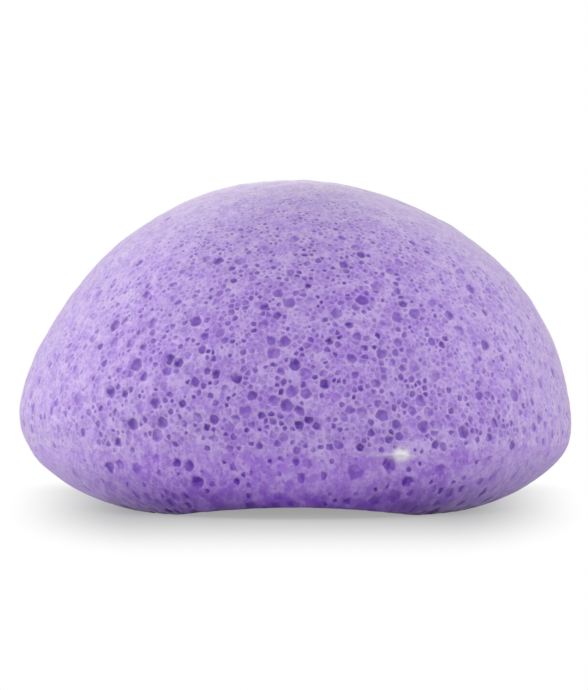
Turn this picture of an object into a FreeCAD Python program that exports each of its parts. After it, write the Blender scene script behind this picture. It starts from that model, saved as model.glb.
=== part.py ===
import FreeCAD, Part
import math
import os

# Konjac sponge: a half-ball of soft moulded foam for washing the face.
# It is cast in a round mould with an open-cell crown above the moulding line and a
# denser, smooth-skinned layer below it. The two layers are bonded over a flat plane.
# Frame: +Z up, origin on the table under the middle of the sponge, +X to the right
# and -Y to the front. All lengths are in millimetres.

# Driving dimensions of the moulded outline
sponge_diameter = 80.0
sponge_height = 47.0
shoulder_height = 13.0
shoulder_radius = 9.5

# The lower edge: drawn in over the feet on the left and right, and only rounded at the front and back
foot_spacing = 40.0
rim_radius = 6.0
foot_flat_depth = 0.5
belly_sections = 9

# The layers and the underside
moulding_line_height = 9.6
arch_span = 33.0
arch_rise = 1.6

# How far a cutting solid runs past what it cuts
overrun = 5.0

SPIN_AXIS = FreeCAD.Vector(0, 0, 1)
ACROSS_AXIS = FreeCAD.Vector(0, 1, 0)
ORIGIN = FreeCAD.Vector(0, 0, 0)


def profile_point(radius, height):
    """A point of the half outline, which lies in the XZ plane."""
    return FreeCAD.Vector(radius, 0, height)


def crown_radius(rise, inset, rounding):
    """Radius of an arc that starts level and then meets a rounding tangentially from outside.

    rise and inset are the level point's distances from the rounding's centre, along and across the axis.
    """
    return (inset**2 + rise**2 - rounding**2) / (2 * (rise - rounding))


def touching_point(centre, radius, rounding_centre):
    """Where an arc round centre touches the rounding that lies inside it."""
    outward = rounding_centre.sub(centre).normalize()
    return centre.add(outward.multiply(radius))


def arc_edge(centre, radius, start, end):
    """The shorter arc from start to end round centre, in the XZ plane."""
    middle = start.add(end).multiply(0.5)
    outward = middle.sub(centre).normalize()
    return Part.Arc(start, centre.add(outward.multiply(radius)), end).toShape()


def shoulder_centre():
    return profile_point(sponge_diameter / 2 - shoulder_radius, shoulder_height)


def dome():
    """The sponge above its widest level: crown and shoulder arcs, spun about the axis."""
    rounding_centre = shoulder_centre()
    dome_radius = crown_radius(sponge_height - shoulder_height, rounding_centre.x, shoulder_radius)
    dome_centre = profile_point(0, sponge_height - dome_radius)

    crown = profile_point(0, sponge_height)
    dome_end = touching_point(dome_centre, dome_radius, rounding_centre)
    widest = profile_point(sponge_diameter / 2, shoulder_height)
    level = profile_point(0, shoulder_height)
    outline = [
        arc_edge(dome_centre, dome_radius, crown, dome_end),
        arc_edge(rounding_centre, shoulder_radius, dome_end, widest),
        Part.makeLine(widest, level),
        Part.makeLine(level, crown),
    ]
    return Part.Face(Part.Wire(outline)).revolve(ORIGIN, SPIN_AXIS, 360)


def half_chord(radius, off_centre):
    return math.sqrt(radius**2 - off_centre**2)


def half_width(height):
    """From the axis to the left or right side: the shoulder arc, then a belly arc down to the foot."""
    rounding_centre = shoulder_centre()
    inset = rounding_centre.x - foot_spacing / 2
    belly_radius = crown_radius(shoulder_height + foot_flat_depth, inset, shoulder_radius)
    belly_centre = profile_point(foot_spacing / 2, belly_radius - foot_flat_depth)
    if height > touching_point(belly_centre, belly_radius, rounding_centre).z:
        return rounding_centre.x + half_chord(shoulder_radius, height - shoulder_height)
    return belly_centre.x + half_chord(belly_radius, height - belly_centre.z)


def half_depth(height):
    """From the axis to the front or back: an upright wall that is rounded under at the table."""
    rim_height = rim_radius - foot_flat_depth
    wall = sponge_diameter / 2
    if height > rim_height:
        return wall
    return wall - rim_radius + half_chord(rim_radius, height - rim_height)


def belly():
    """The sponge below its widest level: level oval sections, closer together towards the table."""
    sections = []
    for number in range(belly_sections):
        height = shoulder_height * (number / (belly_sections - 1)) ** 2
        stretch = FreeCAD.Matrix()
        stretch.scale(half_width(height), half_depth(height), 1)
        stretch.move(FreeCAD.Vector(0, 0, height))
        sections.append(Part.Wire(Part.makeCircle(1).transformGeometry(stretch)))
    return Part.makeLoft(sections, True)


def moulded_body():
    """The whole sponge before its layers are parted."""
    return dome().fuse(belly()).removeSplitter()


def slab(low, high):
    """A block wider than the sponge, between two heights, that takes one layer out of the body."""
    side = sponge_diameter + 2 * overrun
    corner = FreeCAD.Vector(-side / 2, -side / 2, low)
    return Part.makeBox(side, side, high - low, corner)


def underside_arch():
    """The shallow arch from front to back that leaves a foot on the left and on the right."""
    arch_radius = (arch_span**2 / 4 + arch_rise**2) / (2 * arch_rise)
    length = sponge_diameter + 2 * overrun
    start = FreeCAD.Vector(0, -length / 2, arch_rise - arch_radius)
    return Part.makeCylinder(arch_radius, length, start, ACROSS_AXIS)


def open_cell_dome(body):
    """The crown of the sponge, from the moulding line up."""
    return body.common(slab(moulding_line_height, sponge_height + overrun))


def smooth_base(body):
    """The denser layer under the moulding line, cut flat where it stands and arched between its feet."""
    return body.common(slab(0, moulding_line_height)).cut(underside_arch())


def export(name, shape):
    """Writes one layer, after a check that it is a single sound solid."""
    solid = shape.Solids[0]
    if len(shape.Solids) != 1 or not solid.isValid():
        raise ValueError(f"{name} isn't one valid solid")
    solid.exportStep(f"parts/{name}.step")
    print(f"{name}: {solid.Volume / 1000:.1f} cm3")


def main():
    os.makedirs("parts", exist_ok=True)
    body = moulded_body()
    export("open_cell_dome", open_cell_dome(body))
    export("smooth_base", smooth_base(body))


main()
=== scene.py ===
import math
from collections import defaultdict

import bpy
import numpy as np
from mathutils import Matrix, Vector
from mathutils.kdtree import KDTree


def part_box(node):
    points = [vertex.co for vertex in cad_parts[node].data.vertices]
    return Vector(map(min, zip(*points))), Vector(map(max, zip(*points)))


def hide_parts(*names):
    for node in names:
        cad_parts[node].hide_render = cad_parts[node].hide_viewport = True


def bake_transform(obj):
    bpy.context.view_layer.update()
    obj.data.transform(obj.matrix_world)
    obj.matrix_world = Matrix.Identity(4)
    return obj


# A half-ball konjac sponge: soft lavender foam with open cells above the moulding line
# and a smooth, drawn-in skin below it. Lengths are in metres, +Z is up, -Y is the front.

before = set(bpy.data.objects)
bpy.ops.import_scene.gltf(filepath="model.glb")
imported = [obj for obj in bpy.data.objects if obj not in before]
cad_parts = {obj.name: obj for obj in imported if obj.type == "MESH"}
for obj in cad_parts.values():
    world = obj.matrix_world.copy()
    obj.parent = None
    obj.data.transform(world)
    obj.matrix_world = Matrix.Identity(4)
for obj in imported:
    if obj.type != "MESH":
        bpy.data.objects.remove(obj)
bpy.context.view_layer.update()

MM = 0.001
dome_low, dome_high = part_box("open_cell_dome")

# The moulded form, which follows the CAD solids
SPONGE_RADIUS = dome_high.x
SPONGE_HEIGHT = dome_high.z
MOULDING_LINE = dome_low.z
SHOULDER_HEIGHT = 13.0 * MM
SHOULDER_RADIUS = 9.5 * MM
FOOT_SPACING = 40.0 * MM
RIM_RADIUS = 6.0 * MM
FOOT_FLAT_DEPTH = 0.5 * MM
ARCH_SPAN = 33.0 * MM
ARCH_RISE = 1.6 * MM
ARCH_SOFTNESS = 0.15 * MM
POLE_RADIUS = 0.6 * MM
POLE_CLEARANCE = 5.0 * MM
UNDERSIDE_HEIGHT = 1.0 * MM

# How finely the outline is stepped: the first turn from the crown, and the steps of each stretch
CROWN_TURN = 0.001
DOME_STEPS = 600
SHOULDER_STEPS = 100
WALL_STEPS = 120
RIM_STEPS = 200
FLAT_STEPS = 200
TINY = 1e-12

# How the soft form departs from a true round: sideways lean and swell by height, and waves
LEAN_HEIGHTS = np.array([0.0, 9.0, 14.0, 18.0, 33.0, 41.0, 45.0, 47.0]) * MM
LEAN_SHIFTS = np.array([0.5, 0.5, 0.0, 0.0, 0.65, 0.4, -0.2, -0.8]) * MM
SWELL_HEIGHTS = np.array([0.0, 14.0, 22.0, 33.0, 41.0, 47.0]) * MM
SWELL_RISES = np.array([0.0, 0.0, 0.35, 0.4, 0.45, 0.35]) * MM
BROAD_WAVE = 22.0 * MM
BROAD_WAVE_RISE = 0.1 * MM
CLOSE_WAVE = 4.0 * MM
CLOSE_WAVE_RISE = 0.03 * MM
WAVE_FADE_HEIGHT = 4.0 * MM

# The moulding line: a thin ridge of flash over a small ledge, and one torn nub of flash
LINE_SAG = 0.8 * MM
LINE_WANDER = 0.3 * MM
LINE_WAVE = 9.0 * MM
LINE_ROWS = np.array([-0.5, 0.0, 0.5]) * MM
LINE_SPACING = 0.6 * MM
SPACING_IN_RADII = 2.2
FLAT_SPOT_GAP = 0.7
RIDGE_RISE = 0.14 * MM
RIDGE_WIDTH = 0.25 * MM
RIDGE_LENGTH = 3.6 * MM
RIDGE_DIRECTION = math.radians(-71.3)
LEDGE_RISE = 0.08 * MM
LEDGE_WIDTH = 1.2 * MM
NUB_DIRECTION = math.radians(-69.6)
NUB_WIDTH = 1.0 * MM
NUB_HEIGHT = 0.85 * MM
NUB_RISE = 0.2 * MM
NUB_SPACING = 0.25 * MM
NUB_REACH = 2.2
RIDGE_PALENESS = 0.4
NUB_PALENESS = 1.5

# The cells of the foam. A spot of the skin belongs to the cell whose disc is the nearest, so that cells
# meet along thin walls. Sizes, chances and depths of colour go by height, at the stations below.
SEED = 27
STATIONS = np.array([0.0, 6.0, 8.8, 10.2, 25.0, 35.0, 43.0, 47.0]) * MM
SIZE_BY_HEIGHT = np.array([1.3, 1.3, 1.25, 1.0, 1.0, 0.85, 0.7, 0.65])
TONE_BY_HEIGHT = np.array([1.3, 1.15, 1.05, 1.0, 1.0, 0.92, 0.75, 0.6])
FILL_AREAS = np.array([2.4, 2.0, 1.0, 0.42, 0.42, 0.36, 0.3, 0.3]) * MM**2
# Each kind: least and greatest radius, tries, chances by height, and shares of cells up to each tone step
TONE_STEPS = (0.08, 0.4, 0.75, 1.0)
CELL_KINDS = {
    "large": dict(
        radii=(0.48 * MM, 0.98 * MM), tries=9000, tone_shares=(0.0, 0.3, 0.75, 1.0),
        chances=(0.8, 0.9, 0.8, 0.9, 0.65, 0.25, 0.05, 0.0),
    ),
    "medium": dict(
        radii=(0.32 * MM, 0.48 * MM), tries=22000, tone_shares=(0.0, 0.4, 0.8, 1.0),
        chances=(0.75, 0.7, 0.5, 0.4, 0.45, 0.55, 0.5, 0.4),
    ),
}
FILL_TONE_SHARES = (0.0, 0.75, 0.93, 1.0)
FILL_RADII = (0.7, 1.15)
FILL_GAP = 0.6
FILL_SHIFT = 0.22
GOLDEN_TURN = math.pi * (3.0 - math.sqrt(5.0))
PATCH_WAVE = 16.0 * MM
PATCHINESS = 0.3
SIZE_SKEW = 1.6
CELL_REACH = 4.0 * MM
FURTHEST_WALL = 6.0 * MM
FILM_DEPTH = 0.1
OPEN_DEPTH = 0.85
RINGED_RADIUS = 0.48 * MM
RING_REACH = 0.74
RING_DEPTH = 0.85
# Painted shade across each cell: how much paler its tone is towards a random direction than away from it
PAINTED_SHADE_TILT = 0.35
SKIN_CELL_REACH = 0.85
SKIN_CELL_DEPTH = 0.45
SKIN_RIM_REACH = 1.4
SKIN_RIM_LIMIT = 0.9
HOLLOW_SHIFT = 0.16
HOLLOW_DRAW = 1.12
# Painted sheen: how much paler the cells are on the left and right flanks, above and below the moulding
# line; below it there are also fewer cells there
SIDE_SHEEN_PAINT = 0.5
SKIN_SIDE_SHEEN_PAINT = 0.8
NEIGHBOURS = 56
GUARDS = 14
POLE_STEP = 4.0
OUTSIDE_CELL = 2.0

# The map of each layer's skin: a disc, and a corner for the face that closes the layer
DISC_MIDDLE = 0.5 + 0.5j
DISC_RADIUS = 0.48
CLOSING_SPOT = 0.01 + 0.01j

# Colours of the foam
DEEP_GEL = (0.42, 0.22, 0.79, 1.0)
PALE_GEL = (0.59, 0.42, 0.87, 1.0)
CLOUDY_GEL = (0.52, 0.37, 0.76, 1.0)
FRONT_SKIN = (0.38, 0.185, 0.73, 1.0)
# painted light: the skin's left and right flanks are painted paler
SIDE_SKIN_PAINTED_LIGHT = (0.62, 0.45, 0.9, 1.0)
PALE_GRAIN = (0.66, 0.53, 0.86, 1.0)
DEEP_GRAIN = (0.34, 0.18, 0.62, 1.0)
# painted shade of tiny pores
PIT_SHADE_COLOUR = (0.22, 0.11, 0.42, 1.0)
FILM_COLOUR = (0.25, 0.10, 0.59, 1.0)
WALL_COLOUR = (0.66, 0.51, 0.92, 1.0)
# painted shade along the lower edge, where the skin turns under towards the table
FOOT_SHADE_COLOUR = (0.17, 0.04, 0.47, 1.0)
# painted shade inside the open cells, over the real depth of their hollows
OPENING_SHADE_COLOUR = (0.105, 0.024, 0.37, 1.0)
FLASH_COLOUR = (0.94, 0.88, 0.99, 1.0)
DOME_SHEEN = dict(weight=0.75, roughness=0.58, tint=(1.0, 0.97, 0.98, 1.0))
BASE_SHEEN = dict(weight=0.35, roughness=0.5, tint=(0.95, 0.87, 1.0, 1.0))

# Sizes of the pattern: noise scales per metre, and how far colours reach
FINE_SCALE = 2100.0
WOBBLE_SCALE = 1100.0
MOTTLE_SCALE = 420.0
CLOUD_SCALE = 150.0
DOT_SCALE = 1900.0
WALL_WIDTH = 0.2 * MM
OFF_WALL = 0.28 * MM
# heights over which the painted shade of the lower edge fades out upwards
FOOT_SHADE_HEIGHTS = (7.0 * MM, 0.5 * MM)
ROUGH_HEIGHTS = (6.0 * MM, 14.0 * MM)
BUMP_DISTANCE = 0.06 * MM
# how much of the tiny pores' painted shade is laid on
PIT_SHADE_SHARE = 0.65
FILM_SHARE = 0.8
WALL_SHARE = 0.27

# Where colours of the skin change, out from the middle plane: its deeper front, the painted light on its
# flanks and the painted shade along its lower edge
FRONT_SKIN_FADE = (16.0 * MM, 36.0 * MM)
SIDE_SKIN_PAINTED_LIGHT_RISE = (20.0 * MM, 36.0 * MM)
FOOT_SHADE_FADE = (18.0 * MM, 36.0 * MM)

# The table: how far its painted shadow reaches round the sponge before it fades to white, and its levels
TABLE_RADIUS = 1.6
# The painted shadow: a darker patch of table round the sponge, its half width, flare, front and back
PAINTED_SHADOW_HALF_WIDTH = 22.8 * MM
PAINTED_SHADOW_FLARE = 0.05
PAINTED_SHADOW_FRONT = -10.0 * MM
PAINTED_SHADOW_BACK = 40.0 * MM
SIDE_FADE = 5.8
BACK_FADE = 1.8
FADE_LENGTH = 115.0 * MM
TABLE_BOUNCE = (0.52, 0.52, 0.52, 1.0)
# the table's colour as seen, darker than the light it gives back: the painted shadow round the sponge
TABLE_PAINTED_SHADOW_COLOUR = (0.2, 0.2, 0.195, 1.0)
TABLE_GLOW = 0.34
WHITE = (1.0, 1.0, 1.0, 1.0)

# The lights: the world near the horizon, overhead and behind, and the place, size and power of each lamp
WORLD_LOW = 1.13
WORLD_HIGH = 0.52
WORLD_BEHIND = 0.12
SOFTBOXES = {
    "front_softbox": ((0.0, -0.7, 0.4), 0.4, 1.05),
    "left_softbox": ((-0.6, 0.16, 0.13), 0.25, 2.2),
    "right_softbox": ((0.6, 0.16, 0.13), 0.25, 1.32),
}

# The camera, which looks at the front from just above the table
IMAGE_HEIGHT = 690
PIXEL = 0.1455 * MM
CAMERA_DISTANCE = 600.0 * MM
CAMERA_ELEVATION = math.radians(0.6)
CAMERA_AIM = Vector((-0.2 * MM, 0.0, 23.4 * MM))
SENSOR = 36.0


def smooth_step(low, high, value):
    share = np.clip((value - low) / (high - low), 0.0, 1.0)
    return share * share * (3.0 - 2.0 * share)


def crown_radius(rise, inset, rounding):
    """Radius of an arc that starts level and then meets a rounding tangentially from outside."""
    return (inset**2 + rise**2 - rounding**2) / (2.0 * (rise - rounding))


def arc(centre, radius, turns):
    """Points of an arc in (radius, height), and the outward directions. Turns start from straight up."""
    outward = np.column_stack([np.sin(turns), np.cos(turns)])
    return np.array(centre) + radius * outward, outward


class Outline:
    """Half outline of the sponge at the front, from the crown to the middle of the underside.

    A place on the skin is a complex number whose angle is the direction from above. Its modulus grows
    from the crown outwards at such a rate that small shapes keep their form, so cells can be drawn in
    the plane.
    """

    def __init__(self):
        shoulder = np.array([SPONGE_RADIUS - SHOULDER_RADIUS, SHOULDER_HEIGHT])
        dome_radius = crown_radius(SPONGE_HEIGHT - SHOULDER_HEIGHT, shoulder[0], SHOULDER_RADIUS)
        dome = np.array([0.0, SPONGE_HEIGHT - dome_radius])
        rim = np.array([SPONGE_RADIUS - RIM_RADIUS, RIM_RADIUS - FOOT_FLAT_DEPTH])

        dome_turn = math.atan2(*(shoulder - dome))
        level = math.pi / 2.0
        foot_turn = math.acos(-rim[1] / RIM_RADIUS)
        wall_heights = np.linspace(SHOULDER_HEIGHT, rim[1], WALL_STEPS)[1:]
        wall = np.column_stack([np.full_like(wall_heights, SPONGE_RADIUS), wall_heights])
        stretches = [
            arc(dome, dome_radius, np.geomspace(CROWN_TURN, dome_turn, DOME_STEPS)),
            arc(shoulder, SHOULDER_RADIUS, np.linspace(dome_turn, level, SHOULDER_STEPS)[1:]),
            (wall, np.tile([1.0, 0.0], (len(wall), 1))),
            arc(rim, RIM_RADIUS, np.linspace(level, foot_turn, RIM_STEPS)[1:]),
        ]
        flat_radii = np.geomspace(stretches[-1][0][-1, 0], POLE_RADIUS / 2, FLAT_STEPS)[1:]
        flat = np.column_stack([flat_radii, np.zeros_like(flat_radii)])
        stretches.append((flat, np.tile([0.0, -1.0], (len(flat), 1))))

        points = np.concatenate([points for points, _ in stretches])
        self.outward = np.concatenate([outward for _, outward in stretches])
        self.radius, self.height = points.T
        steps = np.linalg.norm(np.diff(points, axis=0), axis=1)
        middle_radii = (self.radius[1:] + self.radius[:-1]) / 2.0
        self.run = np.concatenate([[0.0], np.cumsum(steps)])
        self.log_modulus = np.concatenate([[0.0], np.cumsum(steps / middle_radii)])
        self.log_modulus -= self.log_modulus[np.argmax(self.radius)]
        self.ring_areas = 2.0 * math.pi * steps * middle_radii
        area = np.concatenate([[0.0], np.cumsum(self.ring_areas)])
        self.area_share = area / area[-1]
        self.foot_index = len(points) - len(flat)

    def values(self, place, table):
        return np.interp(np.log(np.abs(place) + TINY), self.log_modulus, table)

    def skin(self, place):
        """Points of the true round form and the outward directions there."""
        radius, height, across, up = (
            self.values(place, table) for table in (self.radius, self.height, *self.outward.T)
        )
        direction = np.angle(place)
        cos, sin = np.cos(direction), np.sin(direction)
        return (
            np.column_stack([radius * cos, radius * sin, height]),
            np.column_stack([across * cos, across * sin, up]),
        )

    def unit(self, place):
        """One metre away from the crown along the skin, as a step in the plane of places."""
        return place / self.values(place, self.radius)

    def place_at(self, height, direction):
        """The place on the flank at a height."""
        flank = slice(0, self.foot_index)
        log_modulus = np.interp(-height, -self.height[flank], self.log_modulus[flank])
        return np.exp(log_modulus + 1j * direction)

    def random_places(self, rng, count):
        log_modulus = np.interp(rng.uniform(size=count), self.area_share, self.log_modulus)
        return np.exp(log_modulus + 1j * rng.uniform(0.0, 2.0 * math.pi, count))


def half_chord(radius, off_centre):
    return np.sqrt(np.maximum(radius**2 - off_centre**2, 0.0))


def drawn_in(heights):
    """Width of the sponge as a share of its depth. Below the shoulder it narrows to its feet."""
    shoulder = SPONGE_RADIUS - SHOULDER_RADIUS
    foot = FOOT_SPACING / 2.0
    belly_radius = crown_radius(SHOULDER_HEIGHT + FOOT_FLAT_DEPTH, shoulder - foot, SHOULDER_RADIUS)
    belly_height = belly_radius - FOOT_FLAT_DEPTH
    slope = (SHOULDER_HEIGHT - belly_height) / (belly_radius - SHOULDER_RADIUS)
    width = np.where(
        heights > belly_height + slope * belly_radius,
        shoulder + half_chord(SHOULDER_RADIUS, np.minimum(heights - SHOULDER_HEIGHT, 0.0)),
        foot + half_chord(belly_radius, heights - belly_height),
    )
    rim_height = RIM_RADIUS - FOOT_FLAT_DEPTH
    depth = SPONGE_RADIUS - RIM_RADIUS + half_chord(RIM_RADIUS, np.minimum(heights - rim_height, 0.0))
    return width / depth


def side_share(places):
    """1 on the left and right flanks, 0 at the front and back."""
    return np.cos(np.angle(places)) ** 2


class Waves:
    """A smooth random field in space: plane waves of about one length, with a spread of about 1."""

    def __init__(self, rng, length, count=24):
        direction = rng.normal(size=(count, 3))
        direction /= np.linalg.norm(direction, axis=1, keepdims=True)
        self.vectors = direction * rng.uniform(0.7, 1.3, (count, 1)) * 2.0 * math.pi / length
        self.phases = rng.uniform(0.0, 2.0 * math.pi, count)

    def at(self, points):
        return np.sin(points @ self.vectors.T + self.phases).sum(1) * math.sqrt(2.0 / len(self.phases))


class Boxes:
    """Finds what is near a point, by a grid of boxes."""

    NEAR = [(i, j, k) for i in (-1, 0, 1) for j in (-1, 0, 1) for k in (-1, 0, 1)]

    def __init__(self, side):
        self.side = side
        self.held = defaultdict(list)

    def key(self, point):
        return tuple(math.floor(x / self.side) for x in point)

    def add(self, point, radius):
        self.held[self.key(point)].append((*point, radius))

    def near(self, point):
        i, j, k = self.key(point)
        for di, dj, dk in self.NEAR:
            yield from self.held.get((i + di, j + dj, k + dk), ())

    def clear(self, point, radius):
        x, y, z = point
        return all(
            (x - a) ** 2 + (y - b) ** 2 + (z - c) ** 2 > (radius + other) ** 2
            for a, b, c, other in self.near(point)
        )


class Form:
    """The soft form of the whole sponge: where a place on the skin, set back by a depth, lies in space."""

    def __init__(self, outline, rng):
        self.outline = outline
        self.broad = Waves(rng, BROAD_WAVE)
        self.close = Waves(rng, CLOSE_WAVE)
        self.line_waves = Waves(rng, LINE_WAVE)

    def line_height(self, direction):
        """Height of the moulding line, which sags at the front and wanders a little."""
        level = np.zeros_like(direction)
        ring = SPONGE_RADIUS * np.column_stack([np.cos(direction), np.sin(direction), level])
        sag = LINE_SAG * (0.5 - 0.5 * np.sin(direction))
        return MOULDING_LINE - sag + LINE_WANDER * self.line_waves.at(ring)

    def nub(self, points, directions):
        """How far each point belongs to the torn nub of flash, from 0 to 1."""
        along = SPONGE_RADIUS * (directions - NUB_DIRECTION)
        above = points[:, 2] - MOULDING_LINE + LINE_SAG
        return np.exp(-((along / NUB_WIDTH) ** 2) - (above / NUB_HEIGHT) ** 2)

    def ridge(self, directions, above_line):
        """How far each point belongs to the ridge of flash, from 0 to 1."""
        along = SPONGE_RADIUS * (directions - RIDGE_DIRECTION)
        return np.exp(-((along / RIDGE_LENGTH) ** 2) - (above_line / RIDGE_WIDTH) ** 2)

    def settle(self, places, depths):
        """Points in space, and how far each is skin below the line and pale flash."""
        points, outward = self.outline.skin(places)
        directions = np.angle(places)
        above_line = points[:, 2] - self.line_height(directions)
        skin = smooth_step(LEDGE_WIDTH, -LEDGE_WIDTH, above_line)
        ridge = self.ridge(directions, above_line)
        nub = self.nub(points, directions)

        lifted = smooth_step(0.0, WAVE_FADE_HEIGHT, points[:, 2])
        rise = lifted * (BROAD_WAVE_RISE * self.broad.at(points) + CLOSE_WAVE_RISE * self.close.at(points))
        rise += np.interp(points[:, 2], SWELL_HEIGHTS, SWELL_RISES)
        rise += lifted * LEDGE_RISE * skin + RIDGE_RISE * ridge + NUB_RISE * nub
        settled = points + outward * (rise - depths)[:, None]
        across = np.cos(directions) / drawn_in(points[:, 2])
        settled[:, :2] /= np.hypot(across, np.sin(directions))[:, None]
        settled[:, 0] += np.interp(points[:, 2], LEAN_HEIGHTS, LEAN_SHIFTS)
        settled[:, 2] += self.arch_lift(settled)
        settled[:, 2] = np.maximum(settled[:, 2], 0.0)
        flash = np.clip(RIDGE_PALENESS * ridge + NUB_PALENESS * nub, 0.0, 1.0)
        return settled, skin, flash

    def arch_lift(self, points):
        """How far the arch between the feet lifts a point of the underside."""
        arch_radius = (ARCH_SPAN**2 / 4.0 + ARCH_RISE**2) / (2.0 * ARCH_RISE)
        inside = np.clip(arch_radius**2 - points[:, 0] ** 2, 0.0, None)
        above = ARCH_RISE - arch_radius + np.sqrt(inside) - points[:, 2]
        return (above + np.sqrt(above**2 + ARCH_SOFTNESS**2)) / 2.0


class Cells:
    """The cells of the foam, as discs on the skin with a depth of colour each. Flat spots have none."""

    def __init__(self, outline, form, rng):
        self.outline, self.form = outline, form
        self.boxes = Boxes(2.0 * CELL_KINDS["large"]["radii"][1])
        self.places, self.points, self.radii, self.tones = [], [], [], []
        patches = Waves(rng, PATCH_WAVE)
        for kind in CELL_KINDS.values():
            self.throw(kind, patches, rng)
        self.set_line()
        self.fill(rng)
        self.guard_start = len(self.places)
        self.guard_pole()
        self.places, self.points = np.array(self.places), np.array(self.points)
        self.radii, self.tones = np.array(self.radii), np.array(self.tones)
        self.units = outline.unit(self.places)
        self.weights = (self.radii * np.abs(self.units)) ** 2
        self.tree = KDTree(len(self.points))
        for number, point in enumerate(self.points):
            self.tree.insert(point, number)
        self.tree.balance()

    def keep(self, places, radii, tones, gap=1.0):
        """Keeps the cells that are clear of those already there."""
        points, _ = self.outline.skin(places)
        for place, point, radius, tone in zip(places, points.tolist(), radii, tones):
            if self.boxes.clear(point, gap * radius):
                self.boxes.add(point, radius)
                self.places.append(place)
                self.points.append(point)
                self.radii.append(radius)
                self.tones.append(tone)

    def tone(self, places, heights, shares, rng):
        """Depths of colour: a film closes some cells, and others are half open or open. On the left and
        right flanks the depth is lowered, as painted sheen.
        """
        tones = np.interp(rng.uniform(size=len(places)), shares, TONE_STEPS)
        tones *= np.interp(heights, STATIONS, TONE_BY_HEIGHT)
        painted_sheen = np.where(heights < MOULDING_LINE, SKIN_SIDE_SHEEN_PAINT, SIDE_SHEEN_PAINT)
        return np.minimum(tones * (1.0 - painted_sheen * side_share(places)), 1.0)

    def throw(self, kind, patches, rng):
        """Sets cells of one kind at random spots."""
        places = self.outline.random_places(rng, kind["tries"])
        points, _ = self.outline.skin(places)
        heights = points[:, 2]
        low, high = kind["radii"]
        radii = np.interp(heights, STATIONS, SIZE_BY_HEIGHT)
        radii *= low + (high - low) * rng.uniform(size=len(places)) ** SIZE_SKEW
        chances = np.interp(heights, STATIONS, kind["chances"]) * (1.0 + PATCHINESS * patches.at(points))
        from_line = np.abs(heights - self.form.line_height(np.angle(places)))
        off_pole = (heights > UNDERSIDE_HEIGHT) | (np.hypot(points[:, 0], points[:, 1]) > POLE_CLEARANCE)
        # painted sheen: fewer cells on the skin's left and right flanks
        chances *= np.where(heights < MOULDING_LINE, 1.0 - SKIN_SIDE_SHEEN_PAINT * side_share(places), 1.0)
        wanted = (rng.uniform(size=len(places)) < chances) & (from_line > radii) & off_pole
        tones = self.tone(places, heights, kind["tone_shares"], rng)
        self.keep(places[wanted], radii[wanted], tones[wanted])

    def set_line(self):
        """Sets flat spots along the moulding line and over the nub, so that both are well formed."""
        count = int(2.0 * math.pi * SPONGE_RADIUS / LINE_SPACING)
        along = np.arange(-NUB_REACH * NUB_WIDTH, NUB_REACH * NUB_WIDTH, NUB_SPACING)
        up = np.arange(-NUB_REACH * NUB_HEIGHT, NUB_REACH * NUB_HEIGHT, NUB_SPACING)
        along, up = (grid.ravel() for grid in np.meshgrid(along, up))
        self.set_flat(NUB_DIRECTION + along / SPONGE_RADIUS, up, NUB_SPACING / SPACING_IN_RADII)
        for number, row in enumerate(LINE_ROWS):
            directions = (np.arange(count) + 0.5 * (number % 2)) * 2.0 * math.pi / count - math.pi
            self.set_flat(directions, row, LINE_SPACING / SPACING_IN_RADII)

    def set_flat(self, directions, above_line, radius):
        places = self.outline.place_at(self.form.line_height(directions) + above_line, directions)
        self.keep(places, np.full(len(places), radius), np.zeros(len(places)), gap=FLAT_SPOT_GAP)

    def fill(self, rng):
        """Fills what is left with smaller cells, and below the line with flat spots of skin."""
        outline = self.outline
        per_ring = outline.ring_areas / np.interp(outline.height[1:], STATIONS, FILL_AREAS)
        counted = np.concatenate([[0.0], np.cumsum(per_ring)])
        numbers = np.arange(int(counted[-1]))
        places = np.exp(np.interp(numbers + 0.5, counted, outline.log_modulus) + 1j * GOLDEN_TURN * numbers)
        spacing = np.sqrt(np.interp(outline.values(places, outline.height), STATIONS, FILL_AREAS))
        shift = rng.normal(size=len(places)) + 1j * rng.normal(size=len(places))
        places = places + FILL_SHIFT * spacing * shift * outline.unit(places)
        radius, height = outline.values(places, outline.radius), outline.values(places, outline.height)
        open_skin = height > self.form.line_height(np.angle(places))
        tones = np.where(open_skin, self.tone(places, height, FILL_TONE_SHARES, rng), 0.0)
        radii = spacing / math.sqrt(math.pi) * rng.uniform(*FILL_RADII, len(places))
        kept = (height > UNDERSIDE_HEIGHT) | (radius > 2.0 * POLE_RADIUS)
        self.keep(places[kept], radii[kept], tones[kept], gap=FILL_GAP)

    def guard_pole(self):
        """Rings the middle of the underside with spots that bound the cells there."""
        under = slice(self.outline.foot_index, None)
        log_modulus = np.interp(-POLE_RADIUS, -self.outline.radius[under], self.outline.log_modulus[under])
        places = np.exp(log_modulus + 2j * math.pi * np.arange(GUARDS) / GUARDS)
        self.places.extend(places)
        self.points.extend(self.outline.skin(places)[0].tolist())
        self.radii.extend([POLE_RADIUS / 2.0] * GUARDS)
        self.tones.extend([0.0] * GUARDS)

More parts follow.
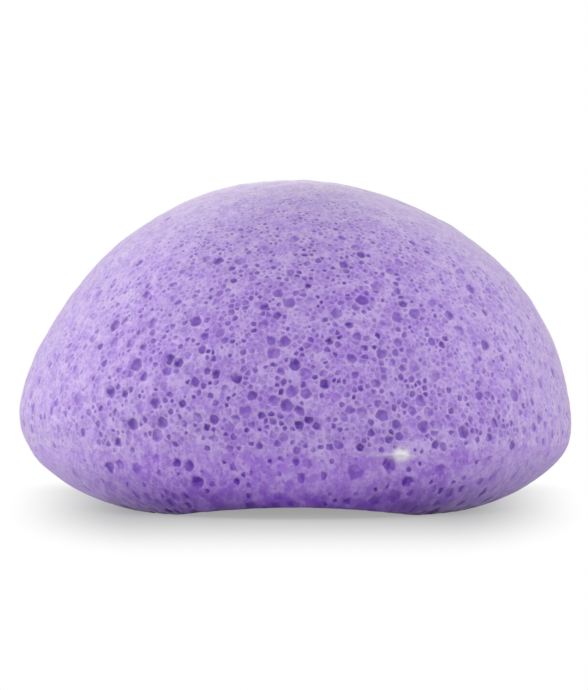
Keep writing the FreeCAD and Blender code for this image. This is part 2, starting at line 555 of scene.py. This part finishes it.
    def border(self, i):
        """Corners of cell i in the plane of places, and the neighbour along the edge that follows each."""
        near = np.array([number for _, number, _ in self.tree.find_n(self.points[i], NEIGHBOURS)][1:])
        offsets = (self.places[near] - self.places[i]) / self.units[i]
        away = np.abs(offsets)
        weight = (self.weights[i] - self.weights[near]) / abs(self.units[i]) ** 2
        reach = (away**2 + weight) / (2.0 * away)
        order = np.argsort(reach)
        corners = [(CELL_REACH * turn, -1) for turn in (1 + 1j, -1 + 1j, -1 - 1j, 1 - 1j)]
        furthest = FURTHEST_WALL
        for number, side, limit in zip(near[order], (offsets / away)[order], reach[order]):
            if limit > furthest or not corners:
                break
            corners = self.cut(corners, side.conjugate(), limit, number)
            furthest = max((abs(corner) for corner, _ in corners), default=0.0)
        places = np.array([corner for corner, _ in corners]) * self.units[i] + self.places[i]
        return places, [int(number) for _, number in corners]

    @staticmethod
    def cut(corners, side, limit, number):
        """Cuts a convex outline along the wall to a neighbour."""
        past = [(corner * side).real - limit for corner, _ in corners]
        kept = []
        for k, (corner, edge) in enumerate(corners):
            following, here, there = corners[k - len(corners) + 1][0], past[k], past[k - len(past) + 1]
            if here <= 0.0:
                kept.append((corner, edge))
            if (here <= 0.0) != (there <= 0.0):
                crossing = corner + (following - corner) * here / (here - there)
                kept.append((crossing, number if here <= 0.0 else edge))
        return kept


class Skin:
    """Collects the vertices and faces of the sponge's two layers."""

    def __init__(self, cells, rng):
        self.cells = cells
        self.places, self.depths, self.from_wall = [], [], []
        self.faces, self.tones, self.spots, self.lower = [], [], [], []
        self.shared = {}
        self.hub = self.vertex(cells.places[0])
        self.pole = self.vertex(cells.places[cells.guard_start] * POLE_STEP)
        below_line = cells.points[:, 2] < cells.form.line_height(np.angle(cells.places))
        for i in range(cells.guard_start):
            before = len(self.faces)
            self.add_cell(i, rng.uniform(0.0, 2.0 * math.pi))
            self.lower.extend([below_line[i]] * (len(self.faces) - before))

    def vertex(self, place, depth=0.0, from_wall=0.0):
        self.places.append(place)
        self.depths.append(depth)
        self.from_wall.append(from_wall)
        return len(self.places) - 1

    def corner(self, meeting, place):
        """The vertex where three cells meet, which they share."""
        key = tuple(sorted(meeting))
        if key not in self.shared:
            self.shared[key] = self.vertex(place)
        return self.shared[key]

    def add_face(self, corners, tone=0.0, spots=None):
        """Adds a face, with where each corner lies in its cell, in radii from the middle."""
        self.faces.append(corners)
        self.tones.append(tone)
        self.spots.extend(spots if spots is not None else [OUTSIDE_CELL] * len(corners))

    def add_cell(self, i, lie):
        corners, edges = self.cells.border(i)
        if len(corners) < 3:
            return
        outer = [self.corner((i, edges[k - 1], edges[k]), corner) for k, corner in enumerate(corners)]
        self.close_pole(outer, edges)
        unit, radius, tone = self.cells.units[i], self.cells.radii[i], self.cells.tones[i]
        middle = corners.mean()
        arms = (corners - middle) / unit
        depth = radius * (FILM_DEPTH + OPEN_DEPTH * tone**2) if tone else 0.0
        # painted shade across the cell: its tone is paler towards the random direction lie and deeper away
        # from it
        tones = tone * (1.0 - PAINTED_SHADE_TILT * (0.5 + 0.5 * np.cos(np.angle(arms) - lie)))
        if tone and self.cells.points[i][2] < MOULDING_LINE:
            radius *= SKIN_CELL_REACH
            depth *= SKIN_CELL_DEPTH
            rim = arms * np.minimum(SKIN_RIM_LIMIT, SKIN_RIM_REACH * radius / np.abs(arms))
            outer = self.strip(outer, [self.vertex(middle + arm * unit) for arm in rim])
            arms = rim
        if radius > RINGED_RADIUS and tone:
            ring = RING_REACH * arms
            inner = [
                self.vertex(middle + spot * unit, RING_DEPTH * depth, (1.0 / RING_REACH - 1.0) * abs(spot))
                for spot in ring
            ]
            spots = (self.spots_in(part, radius, lie) for part in (arms, ring))
            outer = self.strip(outer, inner, tones, *spots)
            arms = ring
        centre = self.vertex(middle, depth, np.abs(corners - middle).mean() / abs(unit))
        spots = self.spots_in(arms, radius, lie)
        hollow = self.spots_in(0.0, radius, lie)
        for k in range(len(outer)):
            self.add_face([outer[k - 1], outer[k], centre], tones[k], [spots[k - 1], spots[k], hollow])

    @staticmethod
    def spots_in(arms, radius, lie):
        """Where corners lie in a cell: in radii from its hollow, which is drawn out and off the middle."""
        turned = np.asarray(arms) / radius * np.exp(-1j * lie) - HOLLOW_SHIFT
        return turned.real / HOLLOW_DRAW + 1j * turned.imag * HOLLOW_DRAW

    def strip(self, outer, inner, tones=None, outer_spots=None, inner_spots=None):
        """Joins two rings and returns the inner one."""
        for k in range(len(outer)):
            corners = [outer[k - 1], outer[k], inner[k], inner[k - 1]]
            if tones is None:
                self.add_face(corners)
            else:
                spots = [outer_spots[k - 1], outer_spots[k], inner_spots[k], inner_spots[k - 1]]
                self.add_face(corners, tones[k], spots)
        return inner

    def close_pole(self, corners, edges):
        """Joins the edges round the middle of the underside to one vertex."""
        for k, edge in enumerate(edges):
            if edge >= self.cells.guard_start:
                self.add_face([corners[k - len(corners) + 1], corners[k], self.pole])

    def layer(self, lower):
        """Numbers of the faces of one layer, and the faces that close it where it meets the other."""
        chosen = [number for number, low in enumerate(self.lower) if low == lower]
        edges = {
            (a, b) for number in chosen
            for a, b in zip(self.faces[number], self.faces[number][1:] + self.faces[number][:1])
        }
        return chosen, [[b, a, self.hub] for a, b in sorted(edges) if (b, a) not in edges]


class Foam:
    """The sponge's foam with all its cells, from which each layer is taken as a closed mesh."""

    def __init__(self):
        rng = np.random.default_rng(SEED)
        self.outline = Outline()
        form = Form(self.outline, rng)
        cells = Cells(self.outline, form, rng)
        self.skin = Skin(cells, rng)
        self.places = np.array(self.skin.places)
        self.points, self.closed_skin, self.flash = form.settle(self.places, np.array(self.skin.depths))
        self.points[self.skin.pole, :2] = 0.0
        self.points[self.skin.hub] = (0.0, 0.0, MOULDING_LINE)
        starts = np.concatenate([[0], np.cumsum([len(face) for face in self.skin.faces])])
        self.face_spots = [self.skin.spots[a:b] for a, b in zip(starts, starts[1:])]

    def layer(self, name, lower):
        chosen, closing = self.skin.layer(lower)
        faces = [self.skin.faces[number] for number in chosen] + closing
        used, flat = np.unique(np.concatenate(faces), return_inverse=True)
        ends = np.cumsum([len(face) for face in faces])
        renumbered = [part.tolist() for part in np.split(flat, ends[:-1])]
        mesh = bpy.data.meshes.new(name)
        mesh.from_pydata(self.points[used].tolist(), [], renumbered)
        mesh.shade_smooth()

        tones = np.array([self.skin.tones[number] for number in chosen] + [0.0] * len(closing))
        outside = [OUTSIDE_CELL] * 3 * len(closing)
        spots = np.concatenate([self.face_spots[number] for number in chosen] + [outside])
        set_values(mesh, "cell_tone", tones, "FACE")
        set_values(mesh, "from_wall", np.array(self.skin.from_wall)[used])
        set_values(mesh, "closed_skin", self.closed_skin[used])
        set_values(mesh, "flash", self.flash[used])
        flat_spots = np.column_stack([spots.real, spots.imag, 0.0 * spots.real])
        set_vectors(mesh, "cell_spot", flat_spots, "CORNER")
        set_vectors(mesh, "rest_place", self.points[used])
        self.sharpen_seam(mesh, len(closing))
        self.lay_out(mesh, used, lower, len(closing))
        layer = bpy.data.objects.new(name, mesh)
        bpy.context.scene.collection.objects.link(layer)
        return layer

    def sharpen_seam(self, mesh, closing):
        """Keeps the shading of the skin apart from that of the face that closes the layer."""
        seam = {mesh.loops[polygon.loop_start].edge_index for polygon in mesh.polygons[-closing:]}
        sharp = np.zeros(len(mesh.edges), bool)
        sharp[list(seam)] = True
        mesh.attributes.new("sharp_edge", "BOOLEAN", "EDGE").data.foreach_set("value", sharp)

    def lay_out(self, mesh, used, lower, closing):
        """A map of the layer's skin as one disc, with the closing face in a corner."""
        run = self.outline.values(self.places[used], self.outline.run)
        middle, edge = (self.outline.run[-1], run.min()) if lower else (0.0, run.max())
        turned = np.exp(1j * np.angle(self.places[used]))
        spots = DISC_MIDDLE + DISC_RADIUS * turned * (run - middle) / (edge - middle)
        corners = np.zeros(len(mesh.loops), int)
        mesh.loops.foreach_get("vertex_index", corners)
        spots = spots[corners]
        spots[len(spots) - 3 * closing:] = CLOSING_SPOT
        layer = mesh.uv_layers.new(name="OFBake")
        layer.data.foreach_set("uv", np.column_stack([spots.real, spots.imag]).ravel())


def set_values(mesh, name, values, domain="POINT"):
    mesh.attributes.new(name, "FLOAT", domain).data.foreach_set("value", values.astype(np.float32))


def set_vectors(mesh, name, values, domain="POINT"):
    flat = values.astype(np.float32).ravel()
    mesh.attributes.new(name, "FLOAT_VECTOR", domain).data.foreach_set("vector", flat)


class Shader:
    """Adds nodes to a material or world and links them."""

    def __init__(self, owner):
        owner.use_nodes = True
        self.tree = owner.node_tree
        self.tree.nodes.clear()

    def node(self, kind, inputs=None, **settings):
        made = self.tree.nodes.new("ShaderNode" + kind)
        for name, value in settings.items():
            setattr(made, name, value)
        for name, value in (inputs or {}).items():
            self.set(made.inputs[name], value)
        return made

    def set(self, socket, value):
        if isinstance(value, bpy.types.NodeSocket):
            self.tree.links.new(value, socket)
        else:
            socket.default_value = value

    def math(self, operation, first, second=0.0):
        return self.node("Math", {0: first, 1: second}, operation=operation).outputs[0]

    def times(self, first, second):
        return self.math("MULTIPLY", first, second)

    def spread(self, value, low, high, to_low=0.0, to_high=1.0):
        """A smooth step of a value from one range to another."""
        ranges = {"Value": value, "From Min": low, "From Max": high, "To Min": to_low, "To Max": to_high}
        return self.node("MapRange", ranges, interpolation_type="SMOOTHSTEP").outputs[0]

    def mix(self, share, first, second):
        made = self.node("Mix", data_type="RGBA")
        for socket, value in zip((made.inputs[0], made.inputs[6], made.inputs[7]), (share, first, second)):
            self.set(socket, value)
        return made.outputs[2]

    def attribute(self, name, output="Fac"):
        return self.node("Attribute", attribute_name=name).outputs[output]

    def noise(self, place, scale, detail):
        return self.node("TexNoise", {"Vector": place, "Scale": scale, "Detail": detail}).outputs["Fac"]


def pit_dots(shader, place, scale):
    """Small soft dots at random spots, no two of the same depth: tiny pores, which the colour darkens as
    painted shade and the bump dents.
    """
    grain = shader.node("TexVoronoi", {"Vector": place, "Scale": scale})
    drawn = shader.node("SeparateColor", {"Color": grain.outputs["Color"]}).outputs[0]
    near = shader.spread(grain.outputs["Distance"], 0.5, 0.15)
    return shader.times(near, shader.spread(drawn, 0.2, 1.0))


class FoamPattern:
    """The values that the colours of the foam follow, from the mesh and from noise."""

    def __init__(self, shader):
        self.shader = shader
        place = shader.attribute("rest_place", "Vector")
        parts = shader.node("SeparateXYZ", {"Vector": place})
        self.up = parts.outputs["Z"]
        self.across = shader.math("ABSOLUTE", parts.outputs["X"])
        self.tone = shader.attribute("cell_tone")
        self.from_wall = shader.attribute("from_wall")
        self.closed = shader.attribute("closed_skin")
        self.flash = shader.attribute("flash")

        self.fine = shader.noise(place, FINE_SCALE, 2.0)
        self.wobble = shader.noise(place, WOBBLE_SCALE, 1.0)
        self.mottle = shader.noise(place, MOTTLE_SCALE, 3.0)
        self.cloud = shader.noise(place, CLOUD_SCALE, 3.0)
        dots = pit_dots(shader, place, DOT_SCALE)
        self.dots = shader.times(dots, shader.spread(self.cloud, 0.7, 0.4, 0.4, 1.0))

    def gel(self):
        """Colour of the gel between the cells, and of the skin, which is deeper at the front; on the left
        and right flanks the skin is painted paler, as painted light.
        """
        shader = self.shader
        colour = shader.mix(shader.spread(self.mottle, 0.35, 0.65), DEEP_GEL, PALE_GEL)
        colour = shader.mix(shader.spread(self.cloud, 0.45, 0.75, 0.0, 0.5), colour, CLOUDY_GEL)
        front = shader.spread(self.across, *FRONT_SKIN_FADE, 0.4, 0.0)
        colour = shader.mix(shader.times(self.closed, front), colour, FRONT_SKIN)
        # painted light: the skin's left and right flanks are painted paler
        side = shader.spread(self.across, *SIDE_SKIN_PAINTED_LIGHT_RISE, 0.0, 0.6)
        return shader.mix(shader.times(self.closed, side), colour, SIDE_SKIN_PAINTED_LIGHT)

    def grained(self, colour):
        """Adds fine pale and deep grain, and dark dots: the painted shade of tiny pores."""
        shader = self.shader
        strength = shader.spread(self.closed, 0.0, 1.0, 0.45, 0.38)
        grain = shader.times(shader.math("ADD", self.fine, self.wobble), 0.5)
        colour = shader.mix(shader.times(strength, shader.spread(grain, 0.49, 0.6)), colour, PALE_GRAIN)
        colour = shader.mix(shader.times(strength, shader.spread(grain, 0.51, 0.4)), colour, DEEP_GRAIN)
        # the dots are the painted shade of tiny pores
        return shader.mix(shader.times(self.dots, PIT_SHADE_SHARE), colour, PIT_SHADE_COLOUR)

    def foot_shade(self):
        """How far the lower edge is painted deeper, as painted shade where the skin turns under towards the
        table. It is so most of all at the front.
        """
        shader = self.shader
        patchy = shader.spread(self.mottle, 0.65, 0.35, 0.6, 1.0)
        low = shader.times(shader.spread(self.up, *FOOT_SHADE_HEIGHTS), patchy)
        return shader.times(low, shader.spread(self.across, *FOOT_SHADE_FADE, 1.0, 0.4))

    def celled(self, colour):
        """Adds the films and walls of the cells, their openings painted dark as painted shade, the painted
        shade along the lower edge, and the flash.
        """
        shader = self.shader
        spot = shader.attribute("cell_spot", "Vector")
        from_middle = shader.node("VectorMath", {0: spot}, operation="LENGTH").outputs["Value"]
        uneven = shader.math("ADD", from_middle, shader.spread(self.wobble, 0.3, 0.7, -0.25, 0.25))
        off_wall = shader.spread(self.from_wall, 0.0, OFF_WALL)
        film = shader.times(off_wall, shader.spread(uneven, 1.4, 0.8))
        film = shader.times(film, shader.spread(self.tone, 0.05, 0.5))
        near_wall = shader.spread(self.from_wall, WALL_WIDTH, 0.0)
        wall = shader.times(near_wall, shader.spread(self.closed, 0.6, 0.0))
        # the open cells are painted dark as painted shade, over the real depth of their hollows
        opening_shade = shader.times(off_wall, shader.spread(uneven, 1.15, 0.5))
        opening_shade = shader.times(opening_shade, shader.spread(self.tone, 0.25, 1.0))

        colour = shader.mix(shader.times(film, FILM_SHARE), colour, FILM_COLOUR)
        colour = shader.mix(shader.times(wall, WALL_SHARE), colour, WALL_COLOUR)
        # painted shade along the lower edge, patchy and strongest at the front
        colour = shader.mix(self.foot_shade(), colour, FOOT_SHADE_COLOUR)
        colour = shader.mix(opening_shade, colour, OPENING_SHADE_COLOUR)
        return shader.mix(self.flash, colour, FLASH_COLOUR)

    def bump(self):
        shader = self.shader
        height = shader.math("SUBTRACT", shader.times(self.fine, 0.5), self.dots)
        strength = shader.spread(self.up, *ROUGH_HEIGHTS, 0.15, 0.5)
        bump = shader.node("Bump", {"Strength": strength, "Distance": BUMP_DISTANCE, "Height": height})
        return bump.outputs[0]


def foam_material(name, sheen):
    """Lavender konjac foam: pale walls, deeper films, openings darkened by painted shade, a smooth base
    with painted shade along its lower edge and painted light on its flanks, cells paled on the flanks by
    painted sheen, and paler flash.
    """
    material = bpy.data.materials.new(name)
    shader = Shader(material)
    pattern = FoamPattern(shader)
    surface = shader.node("BsdfPrincipled", {
        "Base Color": pattern.celled(pattern.grained(pattern.gel())),
        "Roughness": shader.math("ADD", 0.62, shader.times(pattern.fine, 0.25)),
        "Specular IOR Level": 0.02,
        "Subsurface Weight": 0.2,
        "Subsurface Radius": (1.0, 0.55, 1.3),
        "Subsurface Scale": 0.6 * MM,
        "Sheen Weight": sheen["weight"],
        "Sheen Roughness": sheen["roughness"],
        "Sheen Tint": sheen["tint"],
        "Normal": pattern.bump(),
    })
    output = shader.node("OutputMaterial")
    shader.set(output.inputs["Surface"], surface.outputs[0])
    return material


def seen_directly(shader):
    """1 for rays from the camera, and for those that reach it by a mirror or glass."""
    rays = shader.node("LightPath")
    reflected = shader.math("MAXIMUM", rays.outputs["Is Glossy Ray"], rays.outputs["Is Transmission Ray"])
    return shader.math("MAXIMUM", rays.outputs["Is Camera Ray"], reflected)


def beyond_painted_shadow(shader):
    """How far a spot of the table lies past the painted shadow round the sponge, sideways, forwards or
    back.
    """
    parts = shader.node("SeparateXYZ", {"Vector": shader.node("TexCoord").outputs["Object"]})
    x, y = parts.outputs["X"], parts.outputs["Y"]
    side = shader.math("SUBTRACT", shader.math("ABSOLUTE", x), PAINTED_SHADOW_HALF_WIDTH)
    side = shader.math("SUBTRACT", side, shader.times(y, PAINTED_SHADOW_FLARE))
    side = shader.times(shader.math("MAXIMUM", side, 0.0), SIDE_FADE)
    front = shader.math("MAXIMUM", shader.math("SUBTRACT", PAINTED_SHADOW_FRONT, y), 0.0)
    back = shader.math("MAXIMUM", shader.math("SUBTRACT", y, PAINTED_SHADOW_BACK), 0.0)
    along = shader.math("ADD", front, shader.times(back, BACK_FADE))
    past = shader.node("CombineXYZ", {"X": side, "Y": along}).outputs["Vector"]
    return shader.node("VectorMath", {0: past}, operation="LENGTH").outputs["Value"]


def floor():
    """A white table that keeps the sponge's real shadow; as seen, it is also darker round the sponge, a
    painted shadow, and fades into the white background further out.
    """
    bpy.ops.mesh.primitive_circle_add(vertices=96, radius=TABLE_RADIUS, fill_type="NGON")
    table = bpy.context.object
    table.name = "floor"
    material = bpy.data.materials.new("white_table_painted_shadow")
    shader = Shader(material)
    seen = seen_directly(shader)
    # as seen, the table is darker than the light it gives back, and only the fade further out makes it
    # white: a painted shadow round the sponge
    lit = shader.node("BsdfDiffuse", {"Color": shader.mix(seen, TABLE_BOUNCE, TABLE_PAINTED_SHADOW_COLOUR)})
    glow = shader.node("Emission", {"Strength": shader.times(seen, TABLE_GLOW)})
    both = shader.node("AddShader", {0: lit.outputs[0], 1: glow.outputs[0]})
    white = shader.node("Emission", {"Strength": 1.0})
    fade = shader.times(seen, shader.spread(beyond_painted_shadow(shader), 0.0, FADE_LENGTH))
    mixed = shader.node("MixShader", {0: fade, 1: both.outputs[0], 2: white.outputs[0]})
    output = shader.node("OutputMaterial")
    shader.set(output.inputs["Surface"], mixed.outputs[0])
    table.data.materials.append(material)


def white_world():
    """White where it is seen. The light that it gives is weaker from straight above and from behind."""
    world = bpy.data.worlds.new("studio")
    bpy.context.scene.world = world
    shader = Shader(world)
    parts = shader.node("SeparateXYZ", {"Vector": shader.node("TexCoord").outputs["Generated"]})
    given = shader.spread(parts.outputs["Z"], 0.0, 0.9, WORLD_LOW, WORLD_HIGH)
    given = shader.times(given, shader.spread(parts.outputs["Y"], -0.3, 0.7, 1.0, WORLD_BEHIND))
    level = shader.mix(seen_directly(shader), given, WHITE)
    background = shader.node("Background", {"Color": level, "Strength": 1.0})
    output = shader.node("OutputWorld")
    shader.set(output.inputs["Surface"], background.outputs[0])


def softbox(name, place, size, power):
    """A square lamp that faces the middle of the sponge."""
    data = bpy.data.lights.new(name, "AREA")
    data.shape = "SQUARE"
    data.size = size
    data.energy = power
    lamp = bpy.data.objects.new(name, data)
    lamp.location = Vector(place)
    aim = Vector((0.0, 0.0, SPONGE_HEIGHT / 2.0)) - lamp.location
    lamp.rotation_mode = "QUATERNION"
    lamp.rotation_quaternion = aim.to_track_quat("-Z", "Y")
    bpy.context.scene.collection.objects.link(lamp)


def camera():
    data = bpy.data.cameras.new("camera")
    data.sensor_width = SENSOR
    data.lens = SENSOR * CAMERA_DISTANCE / (IMAGE_HEIGHT * PIXEL)
    eye = bpy.data.objects.new("camera", data)
    back = Vector((0.0, -math.cos(CAMERA_ELEVATION), math.sin(CAMERA_ELEVATION)))
    eye.location = CAMERA_AIM + back * CAMERA_DISTANCE
    eye.rotation_mode = "QUATERNION"
    eye.rotation_quaternion = (-back).to_track_quat("-Z", "Y")
    data.clip_start = 0.01
    data.clip_end = 10.0
    bpy.context.scene.collection.objects.link(eye)
    bpy.context.scene.camera = eye


def studio():
    bpy.context.scene.view_settings.view_transform = "Standard"
    white_world()
    for name, values in SOFTBOXES.items():
        softbox(name, *values)
    floor()
    camera()


def dress(layer, node, material):
    """Puts a layer in place of its CAD solid."""
    layer.data.materials.append(material)
    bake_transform(layer)
    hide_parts(node)


foam = Foam()
dome_foam = foam.layer("dome_foam", False)
dress(dome_foam, "open_cell_dome", foam_material("open_cell_foam", DOME_SHEEN))
base_foam = foam.layer("base_foam", True)
dress(base_foam, "smooth_base", foam_material("smooth_foam", BASE_SHEEN))
studio()
